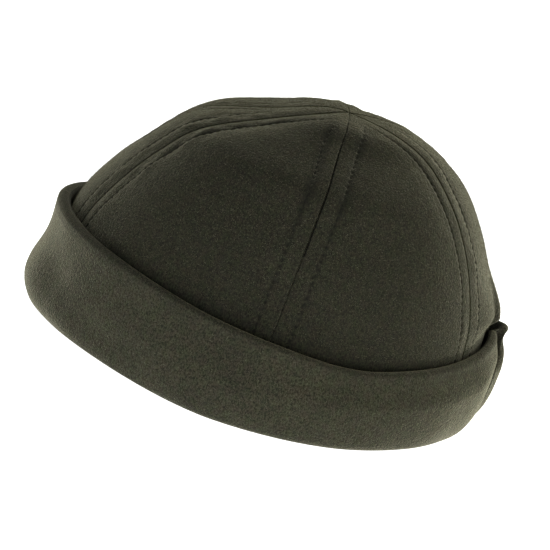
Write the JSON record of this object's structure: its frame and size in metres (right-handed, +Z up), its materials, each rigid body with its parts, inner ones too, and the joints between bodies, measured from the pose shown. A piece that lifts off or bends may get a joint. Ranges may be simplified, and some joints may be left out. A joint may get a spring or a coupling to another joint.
{
  "type": "docker beanie",
  "caption": "Brimless dome-shaped wool cap with sewn crown panels and a deep turned-up cuff, worn on the head.",
  "frame": {"origin": "middle of the rim's outline on the surface that the cap rests on", "axes": "+Z up through the crown's top, front of the cap towards -Y, the wearer's left towards +X"},
  "size_m": [0.1972, 0.2272, 0.1252],
  "materials": {
    "crown_wool": "thick felted wool with a short brushed nap, dark olive, matt",
    "cuff_wool": "the same felted wool, doubled and turned up, a little lighter where its nap catches the light"
  },
  "bodies": {
    "root": {"crown_panel_front": "crown_wool", "crown_panel_left_front": "crown_wool", "crown_panel_left_back": "crown_wool", "crown_panel_back": "crown_wool", "crown_panel_right_back": "crown_wool", "crown_panel_right_front": "crown_wool", "cuff": "cuff_wool"}
  },
  "joints": []
}
